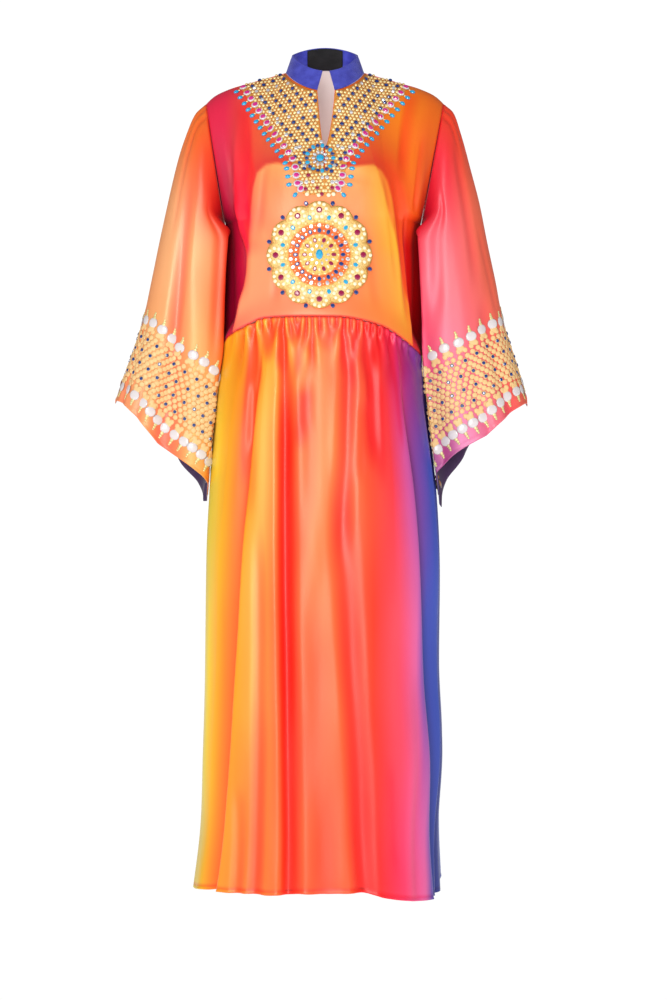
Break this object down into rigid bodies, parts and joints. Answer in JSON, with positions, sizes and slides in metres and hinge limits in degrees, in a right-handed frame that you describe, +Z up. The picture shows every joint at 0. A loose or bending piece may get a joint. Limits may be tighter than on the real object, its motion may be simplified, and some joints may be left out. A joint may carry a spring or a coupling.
{
  "type": "kaftan",
  "caption": "Long satin kaftan with bell sleeves, a stand collar, a beaded yoke and medallion, and a skirt gathered into an arched waist seam.",
  "frame": {"origin": "midway between the two points where the shoulder seams meet the collar", "axes": "+Z up, the front faces -Y, and the wearer's left is +X"},
  "size_m": [0.7205, 0.3364, 1.4741],
  "materials": {
    "bodice_satin": "satin, rose to coral to orange",
    "skirt_satin": "satin, yellow to orange to red to pink to blue",
    "sleeve_satin": "satin, peach and coral, with a printed cuff",
    "collar_satin": "blue woven cloth",
    "label_cloth": "black woven cloth, bare",
    "beadwork": "gold beads, pearls and cut stones"
  },
  "bodies": {
    "root": {"bodice_front": "bodice_satin", "bodice_back": "bodice_satin", "skirt_front": "skirt_satin", "skirt_back": "skirt_satin", "sleeve_left": "sleeve_satin", "sleeve_right": "sleeve_satin", "collar": "collar_satin", "neck_label": "label_cloth", "yoke_beading": "beadwork", "medallion": "beadwork"}
  },
  "joints": []
}
